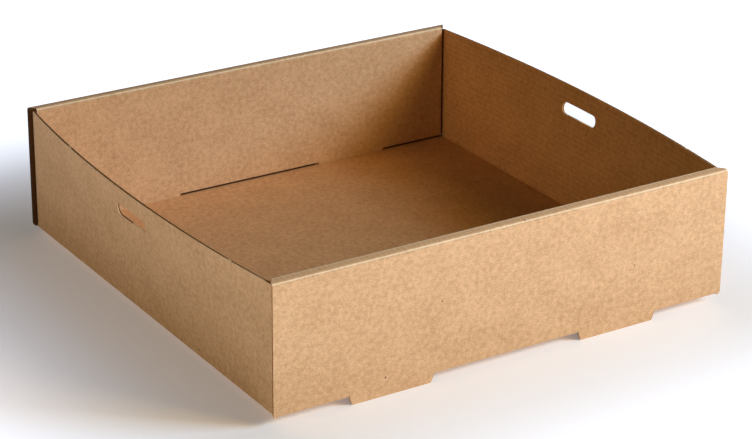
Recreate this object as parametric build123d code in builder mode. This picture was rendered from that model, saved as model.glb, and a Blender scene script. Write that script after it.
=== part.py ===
"""Catering tray box, die cut and folded from one sheet of fine-flute kraft board.

The front and rear walls are rolled over: an outer panel, a narrow rim strip and an inner panel.
Each inner panel locks into slots of the base with two tabs, and the board that the slots give up
hangs below the outer panel as its feet. The side walls are a single layer with a finger slot,
bowed outwards, and their corner flaps are trapped inside the rolled walls.

Millimetres, +Z up, X along the front wall, which faces -Y. The origin is the middle of the
footprint, level with the bottoms of the feet.
"""
import os

from build123d import *

# Board
board = 1.6                 # thickness of the sheet
fold_radius = 0.5           # inside radius of every fold

# Overall sizes
tray_depth = 310.0          # outer face of the front wall to outer face of the rear wall
panel_width = 314.4         # outer panel of the front and rear walls, edge to edge
wall_height = 81.9          # underside of the base to the outer fold of the rim

# Outer panels and their feet
panel_overhang = 1.2        # outer panel past the face of each side wall
panel_corner_radius = 2.5   # lower corners of the outer panels
foot_height = 4.7
foot_pitch = 158.6          # between the middles of the two feet of a wall
foot_root_width = 56.2
foot_tip_width = 52.6
foot_radius = 0.8

# Rims and inner panels
rim_hollow = 4.7            # clear space between an outer and an inner panel, at the rim
rim_rise = 0.7              # inner fold of the rim above its outer fold
rim_shoulder = 3.5          # width of a rim, from its outer face, that is as long as the outer panel
rim_shoulder_radius = 1.5
rim_end_clearance = 1.2     # end of the rest of the rim, and of the inner panel, to the side wall
inner_lean = 1.0            # lower edge of an inner panel further in than its upper edge
inner_panel_gap = 1.2       # lower edge of the inner panel above the floor, between its tabs
tab_clearance = 0.4         # each edge of a tab to the slot it locks into
tab_root_radius = 0.8

# Side walls and their corner flaps
side_drop = 0.8             # upper edge of the side walls below the outer fold of the rim
side_bow = 9.8              # outward bow of the upper edge at mid-length
flap_clearance = 0.4        # a trapped flap to the panel it lies against
flap_end_gap = 0.8          # a trapped flap to the floor and to the rim strip
flap_length = 45.0
flap_taper = 6.0            # height that a flap loses at each edge towards its free end
flap_radius = 4.0

# Finger slots
grip_length = 35.5
grip_height = 9.2
grip_corner_share = 0.85    # corner radius over half the height
grip_drop = 16.9            # outer fold of the rim to the middle of the finger slot

cut_overrun = 5.0

# Folds follow the middle of the board
fold_outer = fold_radius + board
fold_middle = fold_radius + board / 2

# Levels
base_bottom = foot_height
floor_level = base_bottom + board
wall_start = base_bottom + fold_outer
rim_top = base_bottom + wall_height
rim_start = rim_top - fold_outer - fold_radius
inner_bottom = floor_level + inner_panel_gap
side_top = rim_top - side_drop
flap_bottom = floor_level + flap_end_gap
flap_top = rim_top - board - flap_end_gap

# Plan
rim_width = rim_hollow + 2 * board
side_face = panel_width / 2 - panel_overhang
base_width = 2 * (side_face - fold_outer)
base_depth = tray_depth - 2 * fold_outer
rim_length = 2 * (side_face - board - rim_end_clearance)
slot_reach = rim_width + inner_lean + tab_clearance
tab_width = foot_tip_width - 2 * tab_clearance

FRONT, REAR = -1, 1
LEFT, RIGHT = -1, 1
foot_places = [(-foot_pitch / 2, 0), (foot_pitch / 2, 0)]

# Outer face of a flap from the face of its wall: front flaps lie against the outer panel, rear
# flaps against the inner one
flap_inset = {FRONT: board + flap_clearance, REAR: rim_width - 2 * board - flap_clearance}

# Upper ends of the corner folds: the front ones stop below the shoulders of the rim
corner_top = {FRONT: flap_top, REAR: side_top}

# Ends of the side walls, where their corner folds begin
side_end = {wall: wall * (tray_depth / 2 - flap_inset[wall] - fold_outer) for wall in (FRONT, REAR)}
side_length = side_end[REAR] - side_end[FRONT]
side_middle = (side_end[REAR] + side_end[FRONT]) / 2


def wall_face(wall: int, depth: float = 0) -> Plane:
    """Plane of the front or rear wall, X along it and Y up, depth inwards from its outer face."""
    origin = (0, wall * (tray_depth / 2 - depth), 0)
    return Plane(origin=origin, x_dir=(-wall, 0, 0), z_dir=(0, wall, 0))


def wall_section(wall: int) -> Plane:
    """Plane across the front or rear wall, X inwards from its outer face and Y up."""
    return Plane(origin=(0, wall * tray_depth / 2, 0), x_dir=(0, -wall, 0), z_dir=(-wall, 0, 0))


def side_section(side: int) -> Plane:
    """Plane across a side wall at its mid-length, X inwards from its outer face and Y up."""
    return Plane(origin=(side * side_face, side_middle, 0), x_dir=(-side, 0, 0), z_dir=(0, side, 0))


# Rim strip and inner panel of the front wall, up to the outer fold of the rim
with BuildPart() as rolled_strip:
    with BuildSketch(wall_section(FRONT)):
        with BuildLine():
            FilletPolyline(
                (board / 2, rim_start),
                (board / 2, rim_top - board / 2),
                (rim_width - board / 2, rim_top + rim_rise - board / 2),
                (rim_width + inner_lean - board / 2, base_bottom),
                radius=fold_middle,
            )
        trace(line_width=board)
    extrude(amount=panel_width / 2, both=True)

    # Ends, cut back behind the shoulders of the rim
    with BuildSketch() as strip_plan:
        with Locations((0, -tray_depth / 2)):
            Rectangle(panel_width, rim_shoulder, align=(Align.CENTER, Align.MIN))
            fillet(strip_plan.vertices().group_by(Axis.Y)[-1], rim_shoulder_radius)
            Rectangle(rim_length, slot_reach, align=(Align.CENTER, Align.MIN))
    extrude(amount=rim_top + cut_overrun, mode=Mode.INTERSECT)

    # Lower edge, cut back beside and between the locking tabs
    with BuildSketch(wall_face(FRONT, rim_width - board - rim_hollow / 2)) as edge_cut:
        with Locations((0, inner_bottom)):
            Rectangle(panel_width, inner_bottom, align=(Align.CENTER, Align.MAX))
        with Locations(*foot_places):
            Rectangle(tab_width, inner_bottom, align=(Align.CENTER, Align.MIN), mode=Mode.SUBTRACT)
        fillet(edge_cut.vertices().group_by(Axis.Y)[-1], tab_root_radius)
    extrude(amount=-rim_width, mode=Mode.SUBTRACT)

with BuildPart() as folded_tray:
    # Base
    with BuildSketch(Plane.XY.offset(base_bottom)):
        Rectangle(base_width, base_depth)
    extrude(amount=board)

    # Folds between the base and the outer panels
    for wall in (FRONT, REAR):
        with BuildSketch(wall_section(wall)):
            with BuildLine():
                JernArc((board / 2, wall_start), (0, -1), fold_middle, 90)
            trace(line_width=board)
        extrude(amount=base_width / 2, both=True)

    # Slots of the base, which break through those folds
    with BuildSketch(Plane.XY.offset(base_bottom - cut_overrun)):
        with Locations(*[(x, -tray_depth / 2) for x, _ in foot_places]):
            Polygon(
                (-foot_root_width / 2, -cut_overrun),
                (foot_root_width / 2, -cut_overrun),
                (foot_root_width / 2, fold_outer),
                (foot_tip_width / 2, slot_reach),
                (-foot_tip_width / 2, slot_reach),
                (-foot_root_width / 2, fold_outer),
                align=None,
            )
        mirror(about=Plane.XZ)
    extrude(amount=fold_outer + 2 * cut_overrun, mode=Mode.SUBTRACT)

    for wall in (FRONT, REAR):
        # Outer panel with its feet, up to the outer fold of the rim
        with BuildSketch(wall_face(wall)) as outer_panel:
            with Locations((0, base_bottom)):
                Rectangle(panel_width, rim_start - base_bottom, align=(Align.CENTER, Align.MIN))
            fillet(outer_panel.vertices().group_by(Axis.Y)[0], panel_corner_radius)
            with Locations((0, wall_start)):
                Rectangle(base_width, wall_height, align=(Align.CENTER, Align.MAX), mode=Mode.SUBTRACT)
            with Locations(*foot_places):
                Polygon(
                    (-foot_tip_width / 2, 0),
                    (foot_tip_width / 2, 0),
                    (foot_root_width / 2, base_bottom),
                    (foot_root_width / 2, wall_start),
                    (-foot_root_width / 2, wall_start),
                    (-foot_root_width / 2, base_bottom),
                    align=None,
                )
            fillet(outer_panel.vertices().group_by(Axis.Y)[0], foot_radius)
        extrude(amount=-board)

    # Rolled strips of both walls
    add(rolled_strip.part)
    add(rolled_strip.part.mirror(Plane.XZ))

    for side in (LEFT, RIGHT):
        # Fold between the base and the side wall
        with BuildSketch(side_section(side)):
            with BuildLine():
                JernArc((board / 2, wall_start), (0, -1), fold_middle, 90)
            trace(line_width=board)
        extrude(amount=side_length / 2, both=True)

        # Side wall, straight at its fold and bowed at its upper edge
        with BuildSketch(Plane.XY.offset(wall_start)):
            with Locations((side * (side_face - board / 2), side_middle)):
                Rectangle(board, side_length)
        with BuildSketch(Plane.XY.offset(side_top)):
            with BuildLine():
                faces = []
                for face in (side_face, side_face - board):
                    front_end = (side * face, side_end[FRONT])
                    rear_end = (side * face, side_end[REAR])
                    crest = (side * (face + side_bow), side_middle)
                    faces.append(ThreePointArc(front_end, crest, rear_end))
                outer_face, inner_face = faces
                Line(outer_face @ 0, inner_face @ 0)
                Line(outer_face @ 1, inner_face @ 1)
            make_face()
        loft(ruled=True)

        # Finger slot
        with BuildSketch(Plane.YZ.offset(side * (side_face - board - cut_overrun))):
            with Locations((0, rim_top - grip_drop)):
                RectangleRounded(grip_length, grip_height, grip_corner_share * grip_height / 2)
        extrude(amount=side * (side_bow + board + 2 * cut_overrun), mode=Mode.SUBTRACT)

        # Corner folds of the side wall
        for wall in (FRONT, REAR):
            with BuildSketch(Plane.XY.offset(flap_bottom)):
                with BuildLine():
                    start = (side * (side_face - board / 2), side_end[wall])
                    JernArc(start, (0, wall), fold_middle, 90 * side * wall)
                trace(line_width=board)
            extrude(amount=corner_top[wall] - flap_bottom)

    # Corner flaps, trapped between the outer and inner panels
    for wall in (FRONT, REAR):
        with BuildSketch(wall_face(wall, flap_inset[wall])) as flaps:
            with BuildLine():
                Polyline(
                    (base_width / 2, flap_bottom),
                    (base_width / 2, flap_top),
                    (base_width / 2 - flap_length, flap_top - flap_taper),
                    (base_width / 2 - flap_length, flap_bottom + flap_taper),
                    close=True,
                )
            make_face()
            fillet(flaps.vertices().group_by(Axis.X)[0], flap_radius)
            mirror(about=Plane.YZ)
        extrude(amount=-board)

folded_tray.part.label = "folded_tray"

os.makedirs("parts", exist_ok=True)
export_step(folded_tray.part, "parts/folded_tray.step")
print("folded_tray", len(folded_tray.part.solids()), "solid", round(folded_tray.part.volume), "mm3")
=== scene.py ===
"""Looks of the kraft tray box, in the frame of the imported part.

The tray is made as the real one is: panels of one sheet of fine-flute board are cut to their outlines on the
flat blank, folded up from the base, given the thickness of the board, and their cut edges opened into two paper
lips with the fluted core between them. The blank is the sheet's UV map, in metres, with the flutes along Y.
"""
import logging
import math
from collections.abc import Callable, Iterable, Sequence
from dataclasses import dataclass
from enum import Enum, IntEnum
from typing import ClassVar

import bmesh
import bpy
from bmesh.types import BMesh, BMFace
from bpy.types import Material, Mesh, Node, NodeSocket, NodeTree, Object, VertexGroup, bpy_prop_collection
from mathutils import Matrix, Vector


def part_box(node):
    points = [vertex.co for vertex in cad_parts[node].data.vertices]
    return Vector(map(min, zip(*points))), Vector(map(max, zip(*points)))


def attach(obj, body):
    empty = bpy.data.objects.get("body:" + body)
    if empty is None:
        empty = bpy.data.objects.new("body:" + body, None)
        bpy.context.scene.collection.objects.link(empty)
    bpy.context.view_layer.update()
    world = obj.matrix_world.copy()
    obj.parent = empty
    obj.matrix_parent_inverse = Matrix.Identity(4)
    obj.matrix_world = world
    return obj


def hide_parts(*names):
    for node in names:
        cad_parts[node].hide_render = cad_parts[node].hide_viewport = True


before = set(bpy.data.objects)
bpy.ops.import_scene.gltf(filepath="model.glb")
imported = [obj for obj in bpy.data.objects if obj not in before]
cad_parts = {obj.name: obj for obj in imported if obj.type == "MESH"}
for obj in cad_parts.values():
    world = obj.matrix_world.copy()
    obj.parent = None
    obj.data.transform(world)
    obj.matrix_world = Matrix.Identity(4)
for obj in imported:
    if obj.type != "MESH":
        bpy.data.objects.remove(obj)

log = logging.getLogger("tray_box")

NODE = "folded_tray"
BODY = "root"
BLANK = "blank"          # UV map: place on the flat blank, in metres
CREASE = "crease"        # point attribute: 1 in the middle of a fold
ACROSS = "across"        # point attribute: 0 on the outer liner, 1 on the inner one
RIBS_AND_LIGHT = "ribs_and_light"            # face attribute: how far the flutes show through the paper, which also sets the painted light on it
SHADE = "shade"          # point attribute: how far the paper lies in painted shade, in the hollow of a rolled wall or under its inner panel
QUARTER = math.pi / 2
UP = Vector((0.0, 0.0, 1.0))
HERE = 1e-6              # two points this close are one

Point = tuple[float, float]
Span = tuple[float, float]
Colour = tuple[float, float, float, float]
Value = float | Colour | NodeSocket


class Wall(Enum):
    """A rolled wall, by the sign of its place along Y."""

    FRONT = -1
    REAR = 1


class Side(Enum):
    """A single-layer side wall, by the sign of its place along X."""

    LEFT = -1
    RIGHT = 1


class Layer(IntEnum):
    """Material slots of the sheet."""

    LINER = 0
    CORE = 1
    LIP = 2


@dataclass(frozen=True)
class TraySizes:
    """Sizes of the folded tray in metres, with the part's own names.

    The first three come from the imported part's box, and most of the others are the part's own values. Some follow
    the photograph more closely: the sharper folds, the shift of the feet and inner panels to the left, the rise of
    the rims, the gap under the inner panels, the drop of the side walls and the finger slots. The slits beside the
    feet and the nicks, where an edge's core is pressed shut, are only here.
    """

    half_depth: float
    half_reach: float
    height: float
    board: float = 0.0016
    fold_middle: float = 0.0008
    panel_width: float = 0.3144
    wall_height: float = 0.0819
    panel_overhang: float = 0.0012
    panel_corner_radius: float = 0.0025
    foot_height: float = 0.0047
    foot_pitch: float = 0.1586
    foot_root_width: float = 0.0562
    foot_tip_width: float = 0.0526
    foot_radius: float = 0.0008
    foot_slit: float = 0.0003
    sheet_shift: float = -0.0008
    rim_hollow: float = 0.0047
    rim_rise: float = 0.0006
    rim_end_clearance: float = 0.0012
    inner_lean: float = 0.001
    inner_panel_gap: float = 0.0016
    tab_clearance: float = 0.0004
    tab_root_radius: float = 0.0008
    side_drop: float = 0.0016
    flap_clearance: float = 0.0004
    flap_end_gap: float = 0.0008
    flap_length: float = 0.045
    flap_taper: float = 0.006
    flap_radius: float = 0.004
    grip_length: float = 0.0355
    grip_height: float = 0.008
    grip_corner_radius: float = 0.0038
    grip_drop: float = 0.0172
    nick_places: tuple[float, ...] = (-0.112, 0.0832)
    nick_width: float = 0.0022

    @property
    def fold_outer(self) -> float:
        """Outer face of a panel to the start of the fold across its end."""
        return self.fold_middle + self.board / 2

    @property
    def base_level(self) -> float:
        """Middle of the base board."""
        return self.foot_height + self.board / 2

    @property
    def wall_start(self) -> float:
        """Level where the walls leave their folds with the base."""
        return self.foot_height + self.fold_outer

    @property
    def rim_top(self) -> float:
        """Outer fold of the rims."""
        return self.foot_height + self.wall_height

    @property
    def side_top(self) -> float:
        """Upper edge of the side walls."""
        return self.rim_top - self.side_drop

    @property
    def side_face(self) -> float:
        """Outer face of the side walls at their fold."""
        return self.panel_width / 2 - self.panel_overhang

    @property
    def side_bow(self) -> float:
        """Outward bow of a side wall's upper edge."""
        return self.half_reach - self.side_face

    @property
    def rim_width(self) -> float:
        """Outer face of a rolled wall to its inner face, at the rim."""
        return self.rim_hollow + 2 * self.board

    @property
    def half_base(self) -> Point:
        """Half of the base's width and depth, between the starts of its folds."""
        return self.side_face - self.fold_outer, self.half_depth - self.fold_outer

    @property
    def half_slot(self) -> float:
        """Half of the width of a base slot at the bottom fold."""
        return self.foot_root_width / 2 + self.foot_slit

    def foot_places(self, wall: Wall) -> tuple[float, float]:
        """Middles of the two feet of a wall, along its own edge."""
        middle = wall.value * self.sheet_shift
        return middle - self.foot_pitch / 2, middle + self.foot_pitch / 2

    def rim_span(self, wall: Wall) -> Span:
        """Ends of the inner panel of a wall, along its own edge."""
        middle = wall.value * self.sheet_shift
        half = self.side_face - self.board - self.rim_end_clearance
        return middle - half, middle + half

    @property
    def flap_levels(self) -> Point:
        """Lower and upper edge of a corner flap at its fold."""
        return (
            self.foot_height + self.board + self.flap_end_gap,
            self.rim_top - self.board - self.flap_end_gap,
        )

    def side_end(self, wall: Wall) -> float:
        """Place along Y where a side wall begins its corner fold.

        Args:
            wall: rolled wall that traps the corner flap.

        Returns:
            Signed place in metres.
        """
        beside_outer = self.board + self.flap_clearance
        beside_inner = self.rim_width - 2 * self.board - self.flap_clearance
        inset = beside_outer if wall is Wall.FRONT else beside_inner
        return wall.value * (self.half_depth - inset - self.fold_outer)


def edge_frame(origin: Vector, onwards: Vector, inside: Vector) -> Matrix:
    """Frame at an edge of a panel.

    Args:
        origin: middle of the edge.
        onwards: unit direction out of the panel, in its surface.
        inside: unit direction towards the inside of the tray.

    Returns:
        Matrix with X along the edge, Y onwards and Z to the inside.
    """
    columns = (onwards.cross(inside), onwards, inside)
    turn = Matrix(columns).transposed().to_4x4()
    return Matrix.Translation(origin) @ turn


def unmarked(point: Vector) -> float:
    """Value of a mark that a panel doesn't carry."""
    return 0.0


def notch(middle: float, half: Sequence[Point]) -> list[Point]:
    """Corners of a notch or tab that is the same on both sides of its middle, from one half of them."""
    far = [(middle + x, y) for x, y in half]
    return [(middle - x, y) for x, y in half] + far[::-1]


def corners_at(outline: Sequence[Point], level: float) -> list[int]:
    """Places in an outline of its corners at one level."""
    return [place for place, (_, y) in enumerate(outline) if y == level]


@dataclass
class FoldRun:
    """A run of panels that leaves one edge of the sheet, fold after fold."""

    place: Matrix  # frame of the run's end on the folded sheet
    blank: Matrix  # the same frame on the flat blank

    @classmethod
    def from_base(cls, onwards: Vector, reach: float, level: float) -> "FoldRun":
        """Run that leaves the base at an edge, from the edge's reach and the level of the board's middle."""
        on_blank = edge_frame(onwards * reach, onwards, UP)
        return cls(Matrix.Translation(UP * level) @ on_blank, on_blank)

    def ahead(self, length: float) -> None:
        """Move over a flat panel of the given length."""
        step = Matrix.Translation((0.0, length, 0.0))
        self.place = self.place @ step
        self.blank = self.blank @ step

    def turn(self, radius: float, angle: float) -> None:
        """Move over a fold towards the inside.

        Args:
            radius: radius of the fold at the middle of the board.
            angle: angle of the fold in radians.
        """
        rise = Vector((0.0, radius * math.sin(angle), radius * (1.0 - math.cos(angle))))
        self.place = self.place @ Matrix.Translation(rise) @ Matrix.Rotation(angle, 4, "X")
        self.blank = self.blank @ Matrix.Translation((0.0, radius * angle, 0.0))


class PanelCut:
    """One flat panel of the blank, cut to its outline and ruled into small cells."""

    ROUND_SEGMENTS = 6

    def __init__(self, outline: Sequence[Point], rounds: dict[int, float] | None = None) -> None:
        """Cut the panel.

        Args:
            outline: corners in the panel's own frame, counter-clockwise seen from the inside.
            rounds: radius of each rounded corner, by its place in the outline.
        """
        self.mesh = bmesh.new()
        corners = [self.mesh.verts.new((x, y, 0.0)) for x, y in outline]
        self.mesh.faces.new(corners)
        for radius in sorted(set((rounds or {}).values())):
            chosen = [corners[place] for place, size in rounds.items() if size == radius]
            bmesh.ops.bevel(
                self.mesh,
                geom=chosen,
                offset=radius,
                offset_type="OFFSET",
                segments=self.ROUND_SEGMENTS,
                profile=0.5,
                affect="VERTICES",
                material=-1,
            )

    def rule(self, direction: Point, lines: Iterable[float]) -> None:
        """Divide the panel along straight lines.

        Args:
            direction: unit direction across the lines.
            lines: distance of each line from the panel's origin.
        """
        across = Vector((*direction, 0.0))
        for line in lines:
            cells = [*self.mesh.verts, *self.mesh.edges, *self.mesh.faces]
            place = across * line
            bmesh.ops.bisect_plane(self.mesh, geom=cells, dist=HERE, plane_co=place, plane_no=across)

    def draw_blank(self, blank: Matrix) -> None:
        """Write the panel's place on the blank into its UV map."""
        layer = self.mesh.loops.layers.uv.new(BLANK)
        for face in self.mesh.faces:
            for loop in face.loops:
                loop[layer].uv = (blank @ loop.vert.co).xy

    def mark(self, name: str, value: Callable[[Vector], float]) -> None:
        """Write a value at every point of the panel.

        Args:
            name: name of the point attribute.
            value: value for a point in the panel's own frame.
        """
        layer = self.mesh.verts.layers.float.new(name)
        for vert in self.mesh.verts:
            vert[layer] = value(vert.co)

    def mark_faces(self, name: str, value: float) -> None:
        """Write one value on every face of the panel."""
        layer = self.mesh.faces.layers.float.new(name)
        for face in self.mesh.faces:
            face[layer] = value

    def bend(self, radius: float) -> None:
        """Roll the panel towards the inside about a radius."""
        for vert in self.mesh.verts:
            angle = vert.co.y / radius
            vert.co.y = radius * math.sin(angle)
            vert.co.z = radius * (1.0 - math.cos(angle))

    def place(self, frame_here: Matrix) -> None:
        """Set the panel down in the tray."""
        bmesh.ops.transform(self.mesh, matrix=frame_here, verts=self.mesh.verts)


@dataclass
class BoardSheet:
    """The whole sheet, gathered panel by panel at the middle of the board."""

    sizes: TraySizes
    cell: float = 0.005  # side of the cells that the panels are ruled into
    fold_steps: int = 6  # flat strips in each fold
    fold_crush: float = 0.6  # share of the thickness that is left in the middle of a fold
    liner: float = 0.0004  # thickness of the paper lip along a cut edge
    core_side: float = 0.00004  # width of the step from a lip down to the core
    core_recess: float = 0.0005  # depth of the core behind a cut edge
    sharp_angle: float = math.radians(35.0)  # angle between two faces that shows as a sharp edge

    def __post_init__(self) -> None:
        """Start an empty sheet."""
        self.mesh = bmesh.new()

    def lines(self, low: float, high: float) -> list[float]:
        """Ruled lines between two places, on one grid for the whole sheet."""
        first, last = math.ceil(low / self.cell), math.floor(high / self.cell)
        return [step * self.cell for step in range(first, last + 1)]

    def add_panel(
        self,
        run: FoldRun,
        outline: Sequence[Point],
        rounds: dict[int, float] | None = None,
        extra_lines: tuple[Sequence[float], Sequence[float]] = ((), ()),
        shape: Callable[[Vector], Vector] | None = None,
        ribs_and_light: float = 0.0,
        shade: Callable[[Vector], float] = unmarked,
    ) -> None:
        """Cut a flat panel and set it down at the end of a run.

        Args:
            run: run that carries the panel.
            outline: corners of the panel in the run's frame.
            rounds: radius of each rounded corner, by its place in the outline.
            extra_lines: ruled lines across X and across Y, added to the sheet's grid.
            shape: where a point of the set panel moves to, or None for a flat one.
            ribs_and_light: how far the flutes show through the paper, and the painted light on it.
            shade: how far a point of the panel lies in painted shade, in the hollow of a rolled wall or under an
                inner panel.
        """
        panel = PanelCut(outline, rounds)
        for axis, direction in enumerate(((1.0, 0.0), (0.0, 1.0))):
            places = [corner[axis] for corner in outline]
            panel.rule(direction, [*self.lines(min(places), max(places)), *extra_lines[axis]])
        panel.draw_blank(run.blank)
        panel.mark(CREASE, unmarked)
        panel.mark_faces(RIBS_AND_LIGHT, ribs_and_light)
        panel.mark(SHADE, shade)
        panel.place(run.place)
        if shape is not None:
            for vert in panel.mesh.verts:
                vert.co = shape(vert.co)
        self.join(panel)

    def add_fold(
        self,
        run: FoldRun,
        spans: Sequence[Span],
        angle: float,
        extra_lines: Sequence[float] = (),
        shade: Callable[[Vector], float] = unmarked,
    ) -> None:
        """Bend a fold at the end of a run and move the run over it.

        Args:
            run: run that carries the fold.
            spans: stretches along the edge where the fold has board.
            angle: angle of the fold in radians.
            extra_lines: ruled lines across X, added to the sheet's grid.
            shade: how far a point of the fold lies in painted shade, in the hollow of a rolled wall.
        """
        radius = self.sizes.fold_middle
        length = radius * angle
        for low, high in spans:
            strip = PanelCut([(low, 0.0), (high, 0.0), (high, length), (low, length)])
            strip.rule((1.0, 0.0), [*self.lines(low, high), *extra_lines])
            steps = range(1, self.fold_steps)
            strip.rule((0.0, 1.0), [length * step / self.fold_steps for step in steps])
            strip.draw_blank(run.blank)
            strip.mark(CREASE, lambda point: math.sin(math.pi * point.y / length))
            strip.mark_faces(RIBS_AND_LIGHT, 0.0)
            strip.mark(SHADE, shade)
            strip.bend(radius)
            strip.place(run.place)
            self.join(strip)
        run.turn(radius, angle)

    def join(self, panel: PanelCut) -> None:
        """Add a finished panel to the sheet."""
        carrier = bpy.data.meshes.new("panel")
        panel.mesh.to_mesh(carrier)
        panel.mesh.free()
        self.mesh.from_mesh(carrier)
        bpy.data.meshes.remove(carrier)

    def thicken(self, name: str) -> Object:
        """Close the sheet along its folds and give it the thickness of the board.

        Args:
            name: name of the finished piece.

        Returns:
            Object whose cut edges carry the core's material slot.
        """
        bmesh.ops.remove_doubles(self.mesh, verts=self.mesh.verts, dist=4 * HERE)
        middle = bpy.data.meshes.new(name + "_middle")
        self.mesh.to_mesh(middle)
        self.mesh.free()
        piece = bpy.data.objects.new(name, middle)
        bpy.context.scene.collection.objects.link(piece)
        thickness = piece.modifiers.new("board", "SOLIDIFY")
        thickness.thickness = self.sizes.board
        thickness.offset = 0.0
        thickness.use_even_offset = True
        thickness.use_quality_normals = True
        thickness.material_offset_rim = Layer.CORE
        thickness.vertex_group = self.flat_group(piece).name
        thickness.thickness_vertex_group = self.fold_crush
        for _ in Layer:
            middle.materials.append(None)
        graph = bpy.context.evaluated_depsgraph_get()
        solid = bpy.data.meshes.new_from_object(piece.evaluated_get(graph))
        piece.modifiers.clear()
        piece.data = solid
        self.mark_liners(solid, middle)
        bpy.data.meshes.remove(middle)
        solid.name = name
        return piece

    @staticmethod
    def flat_group(piece: Object) -> VertexGroup:
        """Group the points by how flat the board is there, from 0 in a fold to 1 on a panel.

        Args:
            piece: sheet without its thickness.

        Returns:
            The vertex group.
        """
        group = piece.vertex_groups.new(name="flat_board")
        for place, crease in enumerate(piece.data.attributes[CREASE].data):
            group.add([place], 1.0 - min(1.0, max(0.0, crease.value)), "REPLACE")
        return group

    @staticmethod
    def mark_liners(solid: Mesh, middle: Mesh) -> None:
        """Write which liner each point is on.

        Args:
            solid: sheet with its thickness.
            middle: the same sheet without it, with half as many points in the same order.
        """
        count = len(middle.vertices)
        across = solid.attributes.new(ACROSS, "FLOAT", "POINT")
        for place, vert in enumerate(solid.vertices):
            source = middle.vertices[place % count]
            across.data[place].value = float((vert.co - source.co).dot(source.normal) > 0.0)

    @staticmethod
    def inset(mesh: BMesh, faces: list[BMFace], width: float, sink: float) -> list[BMFace]:
        """Draw a narrow border round a region of faces.

        Args:
            mesh: mesh of the sheet.
            faces: faces of the region, which lose the border's width.
            width: width of the border.
            sink: depth that the region sinks by.

        Returns:
            Faces of the border.
        """
        return bmesh.ops.inset_region(
            mesh,
            faces=faces,
            use_boundary=True,
            use_even_offset=not sink,
            use_interpolate=True,
            thickness=width,
            depth=-sink,
        )["faces"]

    def is_closed(self, place: Vector) -> bool:
        """Whether a cut edge of a side wall is pressed shut, as at its nicks and in part of its finger slot.

        Args:
            place: middle of a face of the edge.

        Returns:
            True for a shut edge.
        """
        sizes = self.sizes
        on_side = abs(place.x) > sizes.side_face - sizes.board
        below_edge = place.z < sizes.rim_top - sizes.grip_drop / 2
        in_grip = below_edge and -sizes.grip_length / 2 < place.y < 0.0
        in_wall = place.z > sizes.rim_top - 2 * sizes.grip_drop
        at_nick = any(abs(place.y - nick) < sizes.nick_width / 2 for nick in sizes.nick_places)
        on_corner = place.y > sizes.side_end(Wall.REAR) and place.z > sizes.side_top - HERE
        return on_side and in_wall and (at_nick or on_corner or in_grip)

    def open_edges(self, piece: Object) -> None:
        """Sink the core behind every cut edge, between two paper lips.

        Args:
            piece: thickened sheet.
        """
        mesh = bmesh.new()
        mesh.from_mesh(piece.data)
        edges = [face for face in mesh.faces if face.material_index == Layer.CORE]
        closed = [face for face in edges if self.is_closed(face.calc_center_median())]
        opened = list(set(edges) - set(closed))
        lips = self.inset(mesh, opened, self.liner, 0.0)
        for face in (*closed, *lips):
            face.material_index = Layer.LIP
        for face in self.inset(mesh, opened, self.core_side, self.core_recess):
            face.material_index = Layer.CORE
        for face in mesh.faces:
            face.smooth = True
        mesh.to_mesh(piece.data)
        mesh.free()
        piece.data.set_sharp_from_angle(angle=self.sharp_angle)


@dataclass
class BasePanel:
    """The base of the tray, with the slots that its locking tabs go into."""

    sizes: TraySizes
    hollow_start: float = 0.0006  # face of an inner panel to the painted shade on the floor behind it
    hollow_edge: float = 0.0006  # width over which that painted shade darkens the floor

    def build(self, sheet: BoardSheet) -> None:
        """Cut the base.

        Args:
            sheet: sheet that takes the panel.
        """
        sizes = self.sizes
        half_width, half_depth = sizes.half_base
        root, tip = sizes.half_slot, sizes.foot_tip_width / 2
        reach = sizes.half_depth - sizes.rim_width - sizes.inner_lean - sizes.tab_clearance
        outline = []
        for wall in Wall:
            along = -wall.value
            edge = [(-half_width, -half_depth)]
            for foot in (-place for place in reversed(sizes.foot_places(wall))):
                edge += notch(foot, [(root, -half_depth), (tip, -reach)])
            edge.append((half_width, -half_depth))
            outline += [(along * x, along * y) for x, y in edge]
        here = Matrix.Translation((0.0, 0.0, sizes.base_level))
        lines = [sizes.side_end(wall) for wall in Wall]
        # the floor behind the inner panels' faces is marked for painted shade
        hollow = sizes.half_depth - sizes.rim_width - sizes.inner_lean + self.hollow_start
        lines += [sign * (hollow + step) for sign in (-1.0, 1.0) for step in (0.0, self.hollow_edge)]

        def shade(point: Vector) -> float:
            """1 under the inner panels, where the floor takes painted shade."""
            return float(abs(point.y) > hollow + self.hollow_edge / 2)

        sheet.add_panel(FoldRun(here, Matrix()), outline, extra_lines=((), lines), shade=shade)


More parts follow.
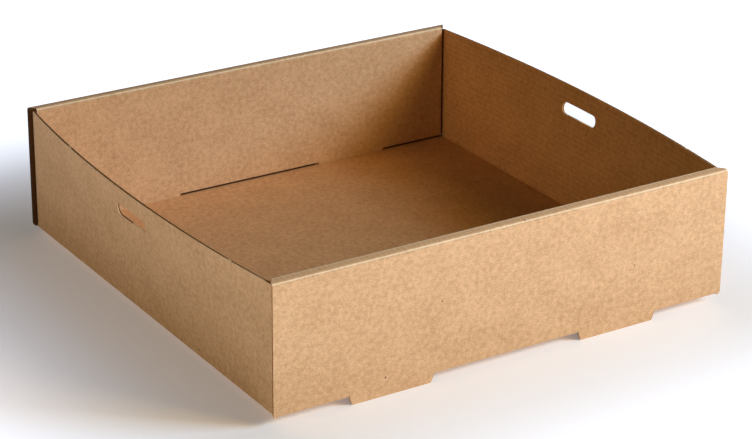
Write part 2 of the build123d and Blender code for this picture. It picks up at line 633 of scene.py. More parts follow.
@dataclass
class RolledWall:
    """A front or rear wall: outer panel with feet, rim strip, and inner panel with locking tabs."""

    # End of a rim strip: share of its width, and of its reach past the inner panel there
    END_CURVE: ClassVar[tuple[Point, ...]] = ((0.0, 1.0), (0.2, 0.92), (0.45, 0.7), (0.75, 0.3), (1.0, 0.0))

    sizes: TraySizes
    wall: Wall
    rim_ribs_and_light: float = 17.0  # how far the flutes show through the rim strip, and the painted light on it
    rim_pale_back: float = 0.0006  # pale line of the rim, painted highlight with wear, to the start of its inner fold
    fold_margin: float = 0.0005  # row of cells beside a fold, which keeps the shading of the panels flat

    def start(self) -> FoldRun:
        """Run that leaves the base along this wall."""
        _, half_depth = self.sizes.half_base
        onwards = Vector((0.0, float(self.wall.value), 0.0))
        return FoldRun.from_base(onwards, half_depth, self.sizes.base_level)

    def bottom_spans(self) -> list[Span]:
        """Stretches of the bottom fold between the feet."""
        half_width, _ = self.sizes.half_base
        root = self.sizes.half_slot
        left, right = self.sizes.foot_places(self.wall)
        return [(-half_width, left - root), (left + root, right - root), (right + root, half_width)]

    def rim_profile(self) -> tuple[list[float], list[float]]:
        """Section of the rolled strip at the middle of the board.

        Returns:
            Lengths of the outer panel, rim and inner panel between their folds, and angles of the two folds.
        """
        sizes = self.sizes
        half = sizes.board / 2
        points = [
            Vector((half, sizes.wall_start)),
            Vector((half, sizes.rim_top - half)),
            Vector((sizes.rim_width - half, sizes.rim_top + sizes.rim_rise - half)),
            Vector((sizes.rim_width + sizes.inner_lean - half, sizes.foot_height)),
        ]
        runs = [end - start for start, end in zip(points, points[1:])]
        angles = [before.angle(after) for before, after in zip(runs, runs[1:])]
        taken = [sizes.fold_middle * math.tan(angle / 2) for angle in angles]
        lengths = [
            runs[0].length - taken[0],
            runs[1].length - taken[0] - taken[1],
            runs[2].length - taken[1],
        ]
        return lengths, angles

    def outer_outline(self, top: float) -> tuple[list[Point], dict[int, float]]:
        """Outline of the outer panel, with its feet below.

        Args:
            top: height of the panel up to its rim fold.

        Returns:
            Corners, and radius of each rounded corner by its place.
        """
        sizes = self.sizes
        half_width, _ = sizes.half_base
        half_panel = sizes.panel_width / 2
        root, tip = sizes.foot_root_width / 2, sizes.foot_tip_width / 2
        corner = sizes.foot_height - sizes.wall_start
        edge = half_width + sizes.foot_slit
        outline = [(-half_panel, corner), (-edge, corner), (-edge, 0.0), (-half_width, 0.0)]
        half_foot = [(sizes.half_slot, 0.0), (root, 0.0), (root, corner), (tip, -sizes.wall_start)]
        for foot in sizes.foot_places(self.wall):
            outline += notch(foot, half_foot)
        outline += [(half_width, 0.0), (edge, 0.0), (edge, corner), (half_panel, corner)]
        tips = corners_at(outline, -sizes.wall_start)
        panel_corners = (0, len(outline) - 1)
        rounds = dict.fromkeys(tips, sizes.foot_radius)
        rounds |= dict.fromkeys(panel_corners, sizes.panel_corner_radius)
        return [*outline, (half_panel, top), (-half_panel, top)], rounds

    def strip_outline(self, length: float) -> list[Point]:
        """Outline of the rim strip, whose ends curve in from the outer panel to the inner one.

        Args:
            length: width of the strip between its two folds.

        Returns:
            Corners of the strip.
        """
        half_panel = self.sizes.panel_width / 2
        low, high = self.sizes.rim_span(self.wall)
        right = [(high + out * (half_panel - high), along * length) for along, out in self.END_CURVE]
        left = [(low - out * (half_panel + low), along * length) for along, out in self.END_CURVE]
        return [*right, *reversed(left)]

    def rim_pale_line(self) -> float:
        """Place on the blank, from its middle, of the line just before the inner fold of the rim."""
        (height, rim_length, _), (rim_fold, _) = self.rim_profile()
        _, half_depth = self.sizes.half_base
        folds = self.sizes.fold_middle * (QUARTER + rim_fold)
        return half_depth + height + rim_length + folds - self.rim_pale_back

    def inner_outline(self, length: float) -> tuple[list[Point], dict[int, float]]:
        """Outline of the inner panel, from its rim fold down to its tabs.

        Args:
            length: length of the panel down to the ends of its tabs.

        Returns:
            Corners, and radius of each rounded corner by its place.
        """
        sizes = self.sizes
        half_tab = sizes.foot_tip_width / 2 - sizes.tab_clearance
        edge = length - sizes.board - sizes.inner_panel_gap
        low, high = sizes.rim_span(self.wall)
        lower = []
        for foot in reversed(sizes.foot_places(self.wall)):
            lower += notch(foot, [(-half_tab, edge), (-half_tab, length)])
        outline = [(low, 0.0), (high, 0.0), (high, edge), *lower, (low, edge)]
        tab_roots = corners_at(outline, edge)[1:-1]
        return outline, dict.fromkeys(tab_roots, sizes.tab_root_radius)

    def build(self, sheet: BoardSheet) -> None:
        """Fold the wall up from the base.

        Args:
            sheet: sheet that takes the panels.
        """
        run = self.start()
        half_panel = self.sizes.panel_width / 2
        ends = self.sizes.rim_span(self.wall)
        (height, rim_length, inner_length), (rim_fold, inner_fold) = self.rim_profile()
        sheet.add_fold(run, self.bottom_spans(), QUARTER)
        margin = self.fold_margin
        lines = (ends, (margin, height - margin))
        sheet.add_panel(run, *self.outer_outline(height), extra_lines=lines, shade=self.end_shade)
        run.ahead(height)
        sheet.add_fold(run, [(-half_panel, half_panel)], rim_fold, ends, self.end_shade)
        sheet.add_panel(
            run,
            self.strip_outline(rim_length),
            extra_lines=(ends, (margin, rim_length - margin)),
            ribs_and_light=self.rim_ribs_and_light,
            shade=self.end_shade,
        )
        run.ahead(rim_length)
        sheet.add_fold(run, [ends], inner_fold, (), self.end_shade)
        lines = ((), (margin,))
        sheet.add_panel(run, *self.inner_outline(inner_length), extra_lines=lines, shade=self.end_shade)

    def end_shade(self, point: Vector) -> float:
        """Painted shade: 1 at a point of the open ends of the rear wall, which face away from the light."""
        low, high = self.sizes.rim_span(self.wall)
        return float(self.wall is Wall.REAR and not low + HERE < point.x < high - HERE)


@dataclass
class SideWall:
    """A side wall of one layer: bowed outwards, with a finger slot and two trapped corner flaps."""

    sizes: TraySizes
    side: Side
    bow_power: float = 1.3  # how late the bow grows up the wall, 1 for evenly
    ribs_and_light: float = 2.0  # how far the flutes show through the paper, and the painted light that lifts its tone

    def start(self) -> FoldRun:
        """Run that leaves the base along this wall."""
        half_width, _ = self.sizes.half_base
        onwards = Vector((float(self.side.value), 0.0, 0.0))
        return FoldRun.from_base(onwards, half_width, self.sizes.base_level)

    def side_fold_line(self) -> float:
        """Place on the blank, from its middle, of the fold between the base and this wall."""
        half_width, _ = self.sizes.half_base
        return half_width + self.sizes.fold_middle * QUARTER / 2

    def span(self) -> Span:
        """The wall's two ends along its own edge, which runs against Y on the right."""
        ends = sorted(-self.side.value * self.sizes.side_end(wall) for wall in Wall)
        return ends[0], ends[1]

    def bowed(self, point: Vector) -> Vector:
        """Where a point of the flat wall goes as the wall bows outwards.

        Args:
            point: point of the flat wall.

        Returns:
            The point moved along X.
        """
        sizes = self.sizes
        front, rear = sizes.side_end(Wall.FRONT), sizes.side_end(Wall.REAR)
        along = (2 * point.y - front - rear) / (rear - front)
        share = max(0.0, (point.z - sizes.wall_start) / (sizes.side_top - sizes.wall_start))
        bow = sizes.side_bow * share**self.bow_power * (1.0 - along**2)
        return point + Vector((self.side.value * bow, 0.0, 0.0))

    def build(self, sheet: BoardSheet) -> None:
        """Fold the wall up from the base, then its corner flaps.

        Args:
            sheet: sheet that takes the panels.
        """
        run = self.start()
        low, high = self.span()
        sheet.add_fold(run, [(low, high)], QUARTER)
        self.add_halves(sheet, run, low, high)
        for wall in Wall:
            self.add_flap(sheet, run, wall)

    def add_halves(self, sheet: BoardSheet, run: FoldRun, low: float, high: float) -> None:
        """Cut the wall in two halves that meet along the middle of its finger slot.

        Args:
            sheet: sheet that takes the halves.
            run: run that carries the wall.
            low: lower end of the wall along its edge.
            high: upper end of the wall along its edge.
        """
        sizes = self.sizes
        half_grip, rise = sizes.grip_length / 2, sizes.grip_height / 2
        top = sizes.side_top - sizes.wall_start
        middle = sizes.rim_top - sizes.grip_drop - sizes.wall_start
        levels = [level - sizes.wall_start for level in sizes.flap_levels]
        ends = (-sizes.nick_width / 2, sizes.nick_width / 2)
        nicks = [-self.side.value * place + end for place in sizes.nick_places for end in ends]
        for sign, edge, lines in ((-1.0, 0.0, ((), levels[:1])), (1.0, top, (nicks, levels[1:]))):
            level = middle + sign * rise
            slot = notch(0.0, [(half_grip, middle), (half_grip, level)])
            outline = [(low, middle), *slot, (high, middle), (high, edge), (low, edge)]
            if sign < 0.0:
                outline.reverse()
            rounds = dict.fromkeys(corners_at(outline, level), sizes.grip_corner_radius)
            sheet.add_panel(run, outline, rounds, lines, self.bowed, self.ribs_and_light)

    def add_flap(self, sheet: BoardSheet, run: FoldRun, wall: Wall) -> None:
        """Fold a corner flap from an end of the wall into the rolled wall beside it.

        Args:
            sheet: sheet that takes the flap.
            run: run that carries the wall, at its lower edge.
            wall: rolled wall that traps the flap.
        """
        sizes = self.sizes
        bottom, top = (level - sizes.wall_start for level in sizes.flap_levels)
        fold_top = top if wall is Wall.FRONT else sizes.side_top - sizes.wall_start
        end = -self.side.value * sizes.side_end(wall)
        onwards = math.copysign(1.0, end)
        at_end = edge_frame(Vector((end, 0.0, 0.0)), Vector((onwards, 0.0, 0.0)), UP)
        corner = FoldRun(run.place @ at_end, run.blank @ at_end)
        upwards = -onwards
        fold = tuple(sorted((upwards * bottom, upwards * fold_top)))
        levels = [upwards * line for line in sheet.lines(bottom, fold_top)]
        middle = sizes.rim_top - sizes.grip_drop - sizes.wall_start
        sheet.add_fold(corner, [fold], QUARTER, [*levels, upwards * top, upwards * middle])
        taper = sizes.flap_taper
        outline = [
            (upwards * bottom, 0.0),
            (upwards * top, 0.0),
            (upwards * (top - taper), sizes.flap_length),
            (upwards * (bottom + taper), sizes.flap_length),
        ]
        if upwards < 0.0:
            outline.reverse()
        rounds = dict.fromkeys(corners_at(outline, sizes.flap_length), sizes.flap_radius)
        sheet.add_panel(corner, outline, rounds, ([upwards * middle], ()))


@dataclass(frozen=True)
class Noise:
    """One noise: cells in a metre, its finer octaves and their strength."""

    scale: float
    detail: float
    rough: float


class NodeBench:
    """Lays out the nodes of one material or group."""

    def __init__(self, tree: NodeTree) -> None:
        """Start on an emptied tree.

        Args:
            tree: node tree of a material or of a node group.
        """
        self.tree = tree
        tree.nodes.clear()

    @classmethod
    def for_material(cls, name: str) -> tuple[Material, "NodeBench"]:
        """Make a material.

        Args:
            name: name of the material.

        Returns:
            The material and a bench on its tree.
        """
        made = bpy.data.materials.new(name)
        made.use_nodes = True
        return made, cls(made.node_tree)

    @classmethod
    def for_group(cls, name: str, outputs: Sequence[str]) -> tuple["NodeBench", NodeSocket]:
        """Start a node group that reads a place on the blank.

        Args:
            name: name of the group.
            outputs: names of its outputs.

        Returns:
            A bench on the group's tree, and the place.
        """
        tree = bpy.data.node_groups.new(name, "ShaderNodeTree")
        tree.interface.new_socket("Vector", in_out="INPUT", socket_type="NodeSocketVector")
        for output in outputs:
            tree.interface.new_socket(output, in_out="OUTPUT", socket_type="NodeSocketFloat")
        bench = cls(tree)
        return bench, bench.add("NodeGroupInput").outputs["Vector"]

    def shared(self, tree: NodeTree, place: NodeSocket) -> bpy_prop_collection:
        """Outputs of a group placed in this tree."""
        return self.add("ShaderNodeGroup", {"Vector": place}, node_tree=tree).outputs

    def feed(self, socket: NodeSocket, value: Value) -> None:
        """Give an input its value or its source."""
        if isinstance(value, NodeSocket):
            self.tree.links.new(value, socket)
        else:
            socket.default_value = value

    def add(self, kind: str, inputs: dict[str | int, Value] | None = None, **settings: object) -> Node:
        """Place a node.

        Args:
            kind: Blender's node type.
            inputs: value or source socket for each input, by its name or place.
            settings: properties of the node.

        Returns:
            The node.
        """
        node = self.tree.nodes.new(kind)
        for name, value in settings.items():
            setattr(node, name, value)
        for name, value in (inputs or {}).items():
            self.feed(node.inputs[name], value)
        return node

    def mark(self, name: str) -> NodeSocket:
        """One of the marks that the sheet carries."""
        return self.add("ShaderNodeAttribute", attribute_name=name).outputs["Fac"]

    def math(self, operation: str, *values: Value) -> NodeSocket:
        """Output of a Math node on up to three values or sockets."""
        inputs = dict(enumerate(values))
        return self.add("ShaderNodeMath", inputs, operation=operation).outputs[0]

    def ramp(self, value: NodeSocket, low: float, high: float) -> NodeSocket:
        """A value taken smoothly from 0 at one bound to 1 at the other."""
        inputs = {"Value": value, "From Min": low, "From Max": high}
        return self.add("ShaderNodeMapRange", inputs, interpolation_type="SMOOTHSTEP").outputs[0]

    def tint(self, share: Value, below: Value, above: Value) -> NodeSocket:
        """Two colours mixed by a share."""
        node = self.add("ShaderNodeMix", data_type="RGBA")
        for name, value in (("Factor_Float", share), ("A_Color", below), ("B_Color", above)):
            self.feed(next(one for one in node.inputs if one.identifier == name), value)
        return next(one for one in node.outputs if one.identifier == "Result_Color")

    def noise(self, vector: NodeSocket, noise: Noise) -> NodeSocket:
        """A noise value about one half."""
        inputs = {"Vector": vector, "Scale": noise.scale, "Detail": noise.detail, "Roughness": noise.rough}
        return self.add("ShaderNodeTexNoise", inputs).outputs["Fac"]

    def close(self, inputs: dict[str | int, Value]) -> None:
        """End a material with its Principled surface."""
        surface = self.add("ShaderNodeBsdfPrincipled", inputs)
        self.add("ShaderNodeOutputMaterial", {"Surface": surface.outputs[0]})


@dataclass(frozen=True)
class PaperFibre:
    """Clouds, fibres and flecks of uncoated kraft paper, as a node group shared by all paper surfaces."""

    name: str = "paper_fibre"
    cloud: Noise = Noise(45.0, 3.0, 0.55)
    mottle: Noise = Noise(310.0, 4.0, 0.62)
    grain: Noise = Noise(1200.0, 2.0, 0.6)
    fibre: Noise = Noise(400.0, 3.0, 0.6)
    fibre_stretch: float = 5.0  # length of the fibres over their width
    fibre_angles: tuple[float, ...] = (0.05, 0.45, -0.4)
    tone_shares: tuple[float, ...] = (0.12, 0.28, 0.24, 0.38)  # of cloud, mottle, grain and fibre
    height_shares: Span = (0.6, 0.4)  # of mottle and fibre
    spot_turn: float = 0.6  # direction of the flecks
    spot_stretch: float = 1.7  # length of the flecks over their width
    spot_edge: float = 0.006  # half of the width of their soft edge, in cells
    fleck: tuple[float, ...] = (60.0, 0.045, 0.72)  # scale, reach and rare of the dark flecks
    glint: tuple[float, ...] = (102.0, 0.05, 0.9)  # the same of the pale flecks

    def group(self) -> NodeTree:
        """Build the group once.

        Returns:
            Group with the input Vector and the outputs Tone, Fleck, Glint and Height.
        """
        if self.name in bpy.data.node_groups:
            return bpy.data.node_groups[self.name]
        bench, place = NodeBench.for_group(self.name, ("Tone", "Fleck", "Glint", "Height"))
        cloud, mottle, grain = (bench.noise(place, noise) for noise in (self.cloud, self.mottle, self.grain))
        first, second, third = (self.streaks(bench, place, angle) for angle in self.fibre_angles)
        fibre = bench.math("MAXIMUM", bench.math("MAXIMUM", first, second), third)
        clouded, mottled, grained, fibrous = self.tone_shares
        soft = bench.math("MULTIPLY_ADD", cloud, clouded, bench.math("MULTIPLY", mottle, mottled))
        fine = bench.math("MULTIPLY_ADD", grain, grained, bench.math("MULTIPLY", fibre, fibrous))
        low, raised = self.height_shares
        inputs = {
            "Tone": bench.math("ADD", soft, fine),
            "Fleck": self.flecks(bench, place, *self.fleck),
            "Glint": self.flecks(bench, place, *self.glint),
            "Height": bench.math("MULTIPLY_ADD", mottle, low, bench.math("MULTIPLY", fibre, raised)),
        }
        bench.add("NodeGroupOutput", inputs)
        return bench.tree

    def streaks(self, bench: NodeBench, place: NodeSocket, angle: float) -> NodeSocket:
        """Short fibres that lie along one direction.

        Args:
            bench: bench of the group.
            place: place on the blank.
            angle: direction of the fibres in radians, which also moves their noise aside.

        Returns:
            A noise value drawn out along the fibres.
        """
        turned = bench.add("ShaderNodeMapping", {"Vector": place, "Rotation": (0.0, 0.0, angle)})
        drawn = bench.add(
            "ShaderNodeMapping",
            {"Vector": turned.outputs[0], "Scale": (1.0, self.fibre_stretch, 1.0), "Location": (angle, 0.0, 0.0)},
        )
        return bench.noise(drawn.outputs[0], self.fibre)

    def flecks(
        self, bench: NodeBench, place: NodeSocket, scale: float, reach: float, rare: float
    ) -> NodeSocket:
        """Sparse small spots.

        Args:
            bench: bench of the group.
            place: place on the blank.
            scale: cells in a metre, each with one spot at most.
            reach: radius of the largest spot over the side of a cell.
            rare: share of the cells that stay empty.

        Returns:
            1 on a spot and 0 off it.
        """
        stretch = (1.0, self.spot_stretch, 1.0)
        turn = (0.0, 0.0, self.spot_turn)
        drawn = bench.add("ShaderNodeMapping", {"Vector": place, "Rotation": turn, "Scale": stretch})
        cells = bench.add("ShaderNodeTexVoronoi", {"Vector": drawn.outputs[0], "Scale": scale})
        chance = bench.add("ShaderNodeSeparateColor", {"Color": cells.outputs["Color"]})
        size = bench.math("MULTIPLY", bench.ramp(chance.outputs[0], rare, 1.0), reach)
        near = bench.math("SUBTRACT", size, cells.outputs["Distance"])
        return bench.ramp(near, -self.spot_edge, self.spot_edge)


@dataclass(frozen=True)
class FluteWave:
    """The wave of the fluted core, as a node group shared by the liner and the cut edges."""

    name: str = "flute_wave"
    pitch: float = 0.00337
    drift: Noise = Noise(25.0, 1.0, 0.5)  # keeps the waves from being quite even
    drift_turn: float = 1.2  # reach of that noise, in radians of the wave

    def group(self) -> NodeTree:
        """Build the group once.

        Returns:
            Group with the input Vector and the output Wave, from -1 to 1 across the flutes.
        """
        if self.name in bpy.data.node_groups:
            return bpy.data.node_groups[self.name]
        bench, place = NodeBench.for_group(self.name, ("Wave",))
        across = bench.add("ShaderNodeSeparateXYZ", {"Vector": place}).outputs["X"]
        drift = bench.math("MULTIPLY", bench.noise(place, self.drift), self.drift_turn)
        turns = bench.math("MULTIPLY_ADD", across, math.tau / self.pitch, drift)
        bench.add("NodeGroupOutput", {"Wave": bench.math("SINE", turns)})
        return bench.tree


@dataclass(frozen=True)
class KraftFinish:
    """Finish of the board's paper, with lines by their distance from the middle of the blank."""

    name: str = "kraft_liner"
    dark: Colour = (0.53, 0.297, 0.138, 1.0)
    light: Colour = (0.757, 0.470, 0.251, 1.0)
    inner_dark: Colour = (0.577, 0.288, 0.116, 1.0)
    inner_light: Colour = (0.824, 0.456, 0.211, 1.0)
    tone_range: Span = (0.43, 0.635)  # tones of the darkest and of the palest fibres
    worn_and_highlight: Colour = (0.97, 0.74, 0.47, 1.0)  # stretched paper outside a fold with a painted highlight there, and pale flecks
    wear_and_highlight_range: Span = (0.2, 0.7)  # tones where that wear and painted highlight begin and are full
    wear_and_highlight_share: float = 1.2
    crushed_and_shade: Colour = (0.22, 0.10, 0.035, 1.0)  # pressed paper inside a fold, with painted shade in the crease
    crushed_and_shade_share: float = 0.7
    crease_range: Span = (0.6, 1.0)  # crease where the folds' colours begin and are full
    top_light: Colour = (1.0, 0.60, 0.31, 1.0)  # painted light: lighter, warmer tint of the rim strips' tops, for the light that falls there
    top_light_share: float = 0.42
    top_light_ribs: Span = (4.0, 11.0)  # strength of the ribs where that painted light begins and is full
    fleck: Colour = (0.17, 0.085, 0.035, 1.0)
    fleck_share: float = 0.8
    glint_share: float = 0.6
    flute_tint: float = 0.009  # how far the flutes show through the liner as tone
    ribs_light_lift: float = 0.5  # painted light: lift of the whole tone where the flutes show, over flute_tint
    ribs_outside: float = 0.25  # share of the ribs that shows on the outer liner
    flute_height: float = 0.000006
    fibre_height: float = 0.00005
    roughness: Span = (0.74, 0.92)
    specular: float = 0.25
    hollow: Colour = (0.12, 0.045, 0.012, 1.0)  # painted shade: paper in the hollow of a rolled wall, and on the floor under its inner panel
    shade_outside: float = 0.0  # share of that painted shade on the outer liner
    rim_pale_line: float = 1.0  # pale line, painted highlight with wear, along the inner folds of the rims, off the blank if not given
    rim_pale_width: float = 0.0005  # half of the width of that line
    side_fold_line: float = 1.0  # along the folds of the side walls, where painted shade darkens the crease, off the blank if not given
    side_fold_width: float = 0.0007
    specks: tuple[tuple[float, float, float], ...] = (  # place on the blank and radius of each speck of bark
        (-0.0472, -0.1982, 0.0008),
        (0.0894, -0.1883, 0.0006),
        (-0.0847, -0.1599, 0.0009),
    )
    speck_core: float = 0.4  # share of that radius that is fully dark

    @classmethod
    def lip(cls) -> "KraftFinish":
        """Finish of the paper's cut edges."""
        return cls(
            name="paper_lip",
            dark=(0.90, 0.58, 0.30, 1.0),
            light=(1.0, 0.74, 0.44, 1.0),
            inner_dark=(0.54, 0.29, 0.12, 1.0),
            inner_light=(0.78, 0.46, 0.22, 1.0),
            # painted shade on both lips at the open ends of the rear wall
            hollow=(0.1, 0.045, 0.014, 1.0),
            shade_outside=1.0,
        )

    def material(self) -> Material:
        """Build the material.

        Returns:
            A Principled material that reads the blank's UV map and all four marks of the sheet.
        """
        made, bench = NodeBench.for_material(self.name)
        place = bench.add("ShaderNodeUVMap", uv_map=BLANK).outputs["UV"]
        paper = bench.shared(PaperFibre().group(), place)
        wave = bench.shared(FluteWave().group(), place)["Wave"]
        inner = bench.mark(ACROSS)
        colour = self.paper(bench, paper, wave, inner)
        for x, y, radius in self.specks:
            ends = {0: place, 1: (x, y, 0.0)}
            away = bench.add("ShaderNodeVectorMath", ends, operation="DISTANCE").outputs["Value"]
            colour = bench.tint(bench.ramp(away, radius, self.speck_core * radius), colour, self.fleck)
        colour = self.folds(bench, place, colour, inner, paper["Tone"])
        # painted shade: dark paper in the hollow of the rear wall's open ends and on the floor under the inner
        # panels
        painted_shade = bench.math("MULTIPLY", bench.mark(SHADE), bench.math("MAXIMUM", inner, self.shade_outside))
        height = bench.math("MULTIPLY", wave, self.flute_height)
        height = bench.math("MULTIPLY_ADD", paper["Height"], self.fibre_height, height)
        bump = bench.add("ShaderNodeBump", {"Height": height, "Distance": 1.0, "Strength": 1.0})
        smooth, rough = self.roughness
        inputs = {"Value": paper["Tone"], "To Min": rough, "To Max": smooth}
        bench.close(
            {
                "Base Color": bench.tint(painted_shade, colour, self.hollow),
                "Roughness": bench.add("ShaderNodeMapRange", inputs).outputs[0],
                "Specular IOR Level": self.specular,
                "Normal": bump.outputs[0],
            }
        )
        return made

    def paper(
        self,
        bench: NodeBench,
        paper: bpy_prop_collection,
        wave: NodeSocket,
        inner: NodeSocket,
    ) -> NodeSocket:
        """Colour of the flat paper, with the flutes that show through, the painted light where they show, and the
        flecks.

        Args:
            bench: bench of the material.
            paper: outputs of the paper's group.
            wave: wave of the fluted core.
            inner: 0 on the outer liner, 1 on the inner one.

        Returns:
            The colour.
        """
        ribs_and_light = bench.mark(RIBS_AND_LIGHT)
        on_liner = bench.math("MULTIPLY_ADD", inner, 1.0 - self.ribs_outside, self.ribs_outside)
        # painted light: the flutes' tone is lifted on the side walls and the rim strips
        drawn = bench.math("MULTIPLY_ADD", wave, self.flute_tint, self.ribs_light_lift * self.flute_tint)
        drawn = bench.math("MULTIPLY", drawn, bench.math("MULTIPLY", ribs_and_light, on_liner))
        share = bench.ramp(bench.math("ADD", drawn, paper["Tone"]), *self.tone_range)
        # painted light on the rim strips' tops
        top_light = bench.math("MULTIPLY", bench.ramp(ribs_and_light, *self.top_light_ribs), self.top_light_share)
        outside = bench.tint(top_light, bench.tint(share, self.dark, self.light), self.top_light)
        colour = bench.tint(inner, outside, bench.tint(share, self.inner_dark, self.inner_light))
        colour = bench.tint(bench.math("MULTIPLY", paper["Glint"], self.glint_share), colour, self.worn_and_highlight)
        return bench.tint(bench.math("MULTIPLY", paper["Fleck"], self.fleck_share), colour, self.fleck)

    def folds(
        self,
        bench: NodeBench,
        place: NodeSocket,
        colour: NodeSocket,
        inner: NodeSocket,
        tone: NodeSocket,
    ) -> NodeSocket:
        """Painted highlight with wear outside a fold, and painted shade with pressed paper inside it.

        Args:
            bench: bench of the material.
            place: place on the blank.
            colour: colour of the flat paper.
            inner: 0 on the outer liner, 1 on the inner one.
            tone: fibre tone, which breaks up the wear.

        Returns:
            Colour with the folds drawn in.
        """
        crease = bench.ramp(bench.mark(CREASE), *self.crease_range)
        axes = bench.add("ShaderNodeSeparateXYZ", {"Vector": place}).outputs
        drawn = []
        for axis, line, width in (
            ("Y", self.rim_pale_line, self.rim_pale_width),
            ("X", self.side_fold_line, self.side_fold_width),
        ):
            off = bench.math("ABSOLUTE", bench.math("SUBTRACT", bench.math("ABSOLUTE", axes[axis]), line))
            drawn.append(bench.math("MAXIMUM", crease, bench.ramp(off, width, 0.0)))
        pale_fold, pressed_and_shade = drawn
        pale_fold = bench.math("MULTIPLY", pale_fold, bench.math("SUBTRACT", 1.0, inner))
        uneven = bench.math("MULTIPLY", bench.ramp(tone, *self.wear_and_highlight_range), self.wear_and_highlight_share)
        # painted shade with pressed paper on the inner liner of every fold and along the side walls' folds
        pressed_and_shade = bench.math("MULTIPLY", bench.math("MULTIPLY", pressed_and_shade, inner), self.crushed_and_shade_share)
        # painted highlight with wear on the outer liner of every fold and along the rims' pale line
        worn_and_highlight = bench.tint(bench.math("MULTIPLY", pale_fold, uneven), colour, self.worn_and_highlight)
        return bench.tint(pressed_and_shade, worn_and_highlight, self.crushed_and_shade)


@dataclass(frozen=True)
class CoreFinish:
    """Finish of the fluted core behind a cut edge."""

    name: str = "fluted_core"
    hollow: Colour = (0.38, 0.14, 0.032, 1.0)  # painted shade deep between the flutes
    medium: Colour = (0.50, 0.21, 0.06, 1.0)  # fluting paper
    deep_shade: Colour = (0.02, 0.009, 0.003, 1.0)  # painted shade over both, at the open ends of the rear wall
    swing: float = 0.42  # reach of the wave between the two liners
    ply: float = 0.1  # half of the fluting paper's thickness over the board's
    ply_edge: Span = (1.6, 0.7)  # ends of that paper's soft edge, over ply
    torn: float = 0.1  # how ragged it is, over the board's thickness
    roughness: float = 0.95
    specular: float = 0.1

    def material(self) -> Material:
        """Build the material.

        Returns:
            A Principled material that draws the cut flutes across the edge.
        """
        made, bench = NodeBench.for_material(self.name)
        place = bench.add("ShaderNodeUVMap", uv_map=BLANK).outputs["UV"]
        tone = bench.shared(PaperFibre().group(), place)["Tone"]
        wave = bench.shared(FluteWave().group(), place)["Wave"]
        ribbon = bench.math("MULTIPLY_ADD", wave, self.swing, 0.5)
        away = bench.math("ABSOLUTE", bench.math("SUBTRACT", bench.mark(ACROSS), ribbon))
        torn = bench.math("MULTIPLY_ADD", tone, self.torn, bench.math("ADD", away, -self.torn / 2))
        share = bench.ramp(torn, *(self.ply * edge for edge in self.ply_edge))
        # painted shade: darker between the flutes, and near black at the open ends of the rear wall
        colour = bench.tint(bench.mark(SHADE), bench.tint(share, self.hollow, self.medium), self.deep_shade)
        bench.close({"Base Color": colour, "Roughness": self.roughness, "Specular IOR Level": self.specular})
        return made


@dataclass
class TrayBox:
    """The whole tray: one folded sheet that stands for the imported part's node."""

    sizes: TraySizes
    name: str = "kraft_tray_sheet"

    def build(self) -> None:
        """Cut, fold, thicken and dress the sheet."""
        sheet = BoardSheet(self.sizes)
        BasePanel(self.sizes).build(sheet)
        log.info("base cut")
        for wall in Wall:
            RolledWall(self.sizes, wall).build(sheet)
            log.info("%s wall rolled over", wall.name.lower())
        for side in Side:
            SideWall(self.sizes, side).build(sheet)
            log.info("%s wall and flaps folded", side.name.lower())
        piece = sheet.thicken(self.name)
        sheet.open_edges(piece)
        self.dress(piece)
        log.info("%s: %d faces", piece.name, len(piece.data.polygons))

    def dress(self, piece: Object) -> None:
        """Give the sheet its finishes.

        Args:
            piece: finished sheet.
        """
        finishes = {
            Layer.LINER: KraftFinish(
                rim_pale_line=RolledWall(self.sizes, Wall.FRONT).rim_pale_line(),
                side_fold_line=SideWall(self.sizes, Side.LEFT).side_fold_line(),
            ),
            Layer.CORE: CoreFinish(),
            Layer.LIP: KraftFinish.lip(),
        }
        for layer in Layer:
            piece.data.materials[layer] = finishes[layer].material()
        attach(piece, BODY)
        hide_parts(NODE)


@dataclass(frozen=True)
class PhotoCamera:
    """The photograph's camera, fitted to the tray's corners and feet, with its angles in degrees."""

    image_width: float = 752.0  # the photograph's width in pixels
    sensor_width: float = 36.0
    focal: float = 2495.0  # in pixels
    azimuth: float = -32.44
    elevation: float = 23.51
    roll: float = -0.573
    distance: float = 1.5668  # camera to the aim's plane
    aside: Point = (-0.005707, 0.024654)  # aim right of the middle of the view, and below it

    def build(self, aim: Vector) -> None:
        """Place the camera.

        Args:
            aim: point that the camera was fitted about.
        """
        turn, lift, roll = (math.radians(angle) for angle in (self.azimuth, self.elevation, self.roll))
        back = Vector((math.sin(turn) * math.cos(lift), -math.cos(turn) * math.cos(lift), math.sin(lift)))
        level = UP.cross(back).normalized()
        upright = back.cross(level)
        right = math.cos(roll) * level - math.sin(roll) * upright
        upwards = math.sin(roll) * level + math.cos(roll) * upright
        lens = bpy.data.cameras.new("photo_camera")
        lens.sensor_width = self.sensor_width
        lens.lens = self.focal / self.image_width * lens.sensor_width
        camera = bpy.data.objects.new("photo_camera", lens)
        place = aim - right * self.aside[0] + upwards * self.aside[1] + back * self.distance
        axes = Matrix((right, upwards, back)).transposed().to_4x4()
        camera.matrix_world = Matrix.Translation(place) @ axes
        bpy.context.scene.collection.objects.link(camera)
        bpy.context.scene.camera = camera


@dataclass(frozen=True)
class SoftBox:
    """A square studio light, with its side in metres and its power in watts."""

    name: str
    place: tuple[float, float, float]
    side: float
    power: float
    colour: tuple[float, float, float]

    def build(self, aim: Vector) -> None:
        """Hang the light so that it faces a point.

        Args:
            aim: point that the light faces.
        """
        lamp = bpy.data.lights.new(self.name, "AREA")
        lamp.shape = "SQUARE"
        lamp.size = self.side
        lamp.energy = self.power
        lamp.color = self.colour
        light = bpy.data.objects.new(self.name, lamp)
        light.location = self.place
        light.rotation_mode = "QUATERNION"
        light.rotation_quaternion = (aim - Vector(self.place)).to_track_quat("-Z", "Y")
        bpy.context.scene.collection.objects.link(light)


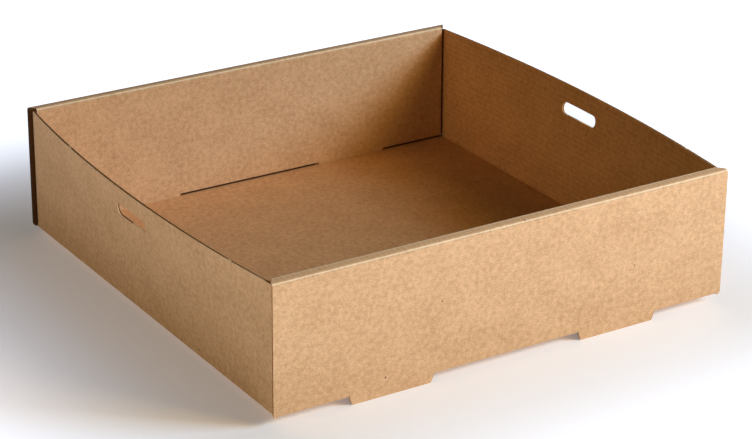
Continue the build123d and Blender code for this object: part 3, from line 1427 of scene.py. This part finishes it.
@dataclass
class Studio:
    """Pale floor, soft light and camera round the tray."""

    floor_side: float = 12.0
    floor_tone: Colour = (0.92, 0.90, 0.86, 1.0)
    floor_roughness: float = 0.9
    glow_near: Colour = (0.17, 0.17, 0.18, 1.0)  # light that the floor gives off beside the tray
    glow_far: Colour = (0.90, 0.95, 1.10, 1.0)
    glow_reach: float = 0.22  # distance from the tray where the floor has its full light
    footprint: Point = (0.157, 0.155)  # half of the tray's width and depth
    lights: tuple[SoftBox, ...] = (
        SoftBox("key_light", (1.65, -1.25, 0.95), 0.8, 54.0, (0.475, 0.70, 1.0)),
        SoftBox("front_light", (1.2, -1.65, 1.15), 0.8, 22.5, (1.0, 0.68, 0.25)),
        SoftBox("left_fill", (-2.0, -0.6, 0.9), 1.2, 7.4, (1.0, 0.82, 0.42)),
    )

    def build(self, aim: Vector, camera_aim: Vector) -> None:
        """Build the floor, the lights and the camera.

        Args:
            aim: point that the lights face.
            camera_aim: point that the camera was fitted about.
        """
        self.floor()
        for light in self.lights:
            light.build(aim)
            log.info("light %s hung", light.name)
        world = bpy.data.worlds.new("studio_dark")
        world.use_nodes = True
        world.node_tree.nodes["Background"].inputs["Strength"].default_value = 0.0
        bpy.context.scene.world = world
        PhotoCamera().build(camera_aim)

    def floor(self) -> None:
        """Lay the floor under the feet."""
        mesh = bmesh.new()
        bmesh.ops.create_grid(mesh, x_segments=2, y_segments=2, size=self.floor_side / 2)
        data = bpy.data.meshes.new("studio_floor")
        mesh.to_mesh(data)
        mesh.free()
        data.materials.append(self.floor_paper())
        floor = bpy.data.objects.new("studio_floor", data)
        bpy.context.scene.collection.objects.link(floor)

    def floor_paper(self) -> Material:
        """White paper that gives off a little light, less of it beside the tray.

        Returns:
            The floor's material.
        """
        made, bench = NodeBench.for_material("studio_paper")
        coordinates = bench.add("ShaderNodeTexCoord").outputs["Object"]
        place = bench.add("ShaderNodeSeparateXYZ", {"Vector": coordinates})
        gaps = []
        for axis, half in zip("XY", self.footprint):
            past = bench.math("SUBTRACT", bench.math("ABSOLUTE", place.outputs[axis]), half)
            gaps.append(bench.math("POWER", bench.math("MAXIMUM", past, 0.0), 2.0))
        away = bench.math("SQRT", bench.math("ADD", *gaps))
        glow = bench.tint(bench.ramp(away, 0.0, self.glow_reach), self.glow_near, self.glow_far)
        bench.close(
            {
                "Base Color": self.floor_tone,
                "Roughness": self.floor_roughness,
                "Emission Color": glow,
                "Emission Strength": 1.0,
            }
        )
        return made


def main() -> None:
    """Build the tray and its studio."""
    logging.basicConfig(level=logging.INFO, format="%(name)s: %(message)s")
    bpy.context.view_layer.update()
    low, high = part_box(NODE)
    sizes = TraySizes(half_depth=(high.y - low.y) / 2 - HERE, half_reach=high.x, height=high.z)
    TrayBox(sizes).build()
    Studio().build(aim=UP * (sizes.height / 2), camera_aim=UP * sizes.foot_height)
    bpy.context.scene.view_settings.view_transform = "Standard"


if __name__ == "__main__":
    main()
